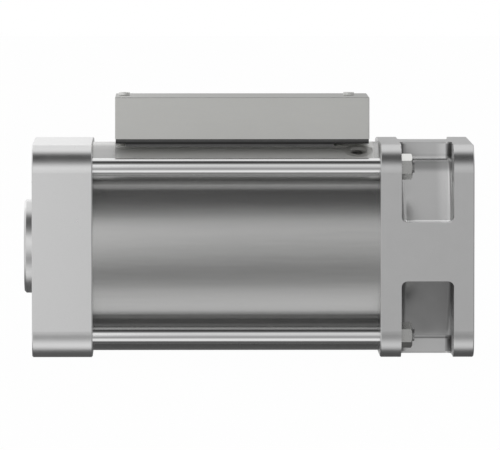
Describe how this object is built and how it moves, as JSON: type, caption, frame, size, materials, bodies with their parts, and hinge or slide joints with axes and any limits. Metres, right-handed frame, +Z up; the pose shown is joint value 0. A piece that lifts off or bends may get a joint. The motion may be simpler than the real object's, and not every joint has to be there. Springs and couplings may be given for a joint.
{
  "type": "cylinder holding brake",
  "caption": "Spring-applied, air-released brake that grips a piston rod: square end caps, round barrel, tie rods, and a box for position switches on top.",
  "frame": {"origin": "centre of the mounting face that meets the cylinder, on the rod's axis", "axes": "+X along the rod, out of the brake towards the cylinder; +Z up, towards the switch box"},
  "size_m": [0.2619, 0.124, 0.1525],
  "materials": {
    "cap_metal": "fine-milled, bare aluminium, satin",
    "barrel_metal": "drawn and lengthwise brushed aluminium",
    "rod_steel": "polished steel",
    "nut_steel": "zinc-plated steel",
    "box_metal": "bead-blasted aluminium, warm grey",
    "hard_steel": "hardened and ground steel",
    "spring_steel": "drawn spring steel, oiled",
    "bronze": "sintered bronze",
    "seal_rubber": "moulded rubber",
    "ring_plastic": "filled bearing plastic",
    "black_plastic": "moulded plastic"
  },
  "bodies": {
    "housing": {"front_cap": "cap_metal", "flange_cap": "cap_metal", "barrel": "barrel_metal", "tie_rods": "rod_steel", "tie_rod_nuts": "nut_steel", "barrel_seals": "seal_rubber", "front_bush": "bronze", "front_wiper": "seal_rubber", "front_retaining_ring": "spring_steel", "rear_bush": "bronze", "rear_wiper": "seal_rubber", "rear_retaining_ring": "spring_steel", "thrust_ring": "hard_steel", "thrust_ring_screws": "hard_steel", "thrust_sleeve": "hard_steel", "jaw_openers": "spring_steel", "brake_springs": "spring_steel", "spring_guide_pins": "hard_steel", "spring_plate": "hard_steel", "port_inserts": "nut_steel", "port_plug": "hard_steel", "switch_rails": "box_metal", "rail_screws": "nut_steel", "switch_base": "box_metal", "switch_gasket": "seal_rubber", "switch_cover": "box_metal", "cover_pillars": "nut_steel", "cover_screws": "nut_steel", "cable_plug": "black_plastic", "clamped_switch": "nut_steel", "released_switch": "nut_steel", "switch_nuts": "nut_steel", "switch_brackets": "box_metal"},
    "piston": {"release_piston": "barrel_metal", "piston_seal": "seal_rubber", "piston_guide": "ring_plastic", "hub_seal": "seal_rubber", "hub_guide": "ring_plastic", "trip_pin": "hard_steel", "trip_flag": "nut_steel"},
    "jaw_1_body": {"jaw_1": "hard_steel", "lining_1": "bronze"},
    "jaw_2_body": {"jaw_2": "hard_steel", "lining_2": "bronze"},
    "jaw_3_body": {"jaw_3": "hard_steel", "lining_3": "bronze"},
    "jaw_4_body": {"jaw_4": "hard_steel", "lining_4": "bronze"}
  },
  "joints": [
    {"name": "piston_slide", "type": "slide", "parent": "housing", "child": "piston", "axis": [-1, 0, 0], "range_m": [0, 0.006], "stiffness_N_per_m": 2000, "deforming": ["brake_springs", "jaw_openers"]},
    {"name": "jaw_1_slide", "type": "slide", "parent": "housing", "child": "jaw_1_body", "axis": [0, 0, 1], "range_m": [0, 0.0006]},
    {"name": "jaw_2_slide", "type": "slide", "parent": "housing", "child": "jaw_2_body", "axis": [0, -1, 0], "range_m": [0, 0.0006]},
    {"name": "jaw_3_slide", "type": "slide", "parent": "housing", "child": "jaw_3_body", "axis": [0, 0, -1], "range_m": [0, 0.0006]},
    {"name": "jaw_4_slide", "type": "slide", "parent": "housing", "child": "jaw_4_body", "axis": [0, 1, 0], "range_m": [0, 0.0006]}
  ],
  "couplings": [
    {"joint": "jaw_1_slide", "follows": "piston_slide", "ratio": 0.1},
    {"joint": "jaw_2_slide", "follows": "piston_slide", "ratio": 0.1},
    {"joint": "jaw_3_slide", "follows": "piston_slide", "ratio": 0.1},
    {"joint": "jaw_4_slide", "follows": "piston_slide", "ratio": 0.1}
  ]
}
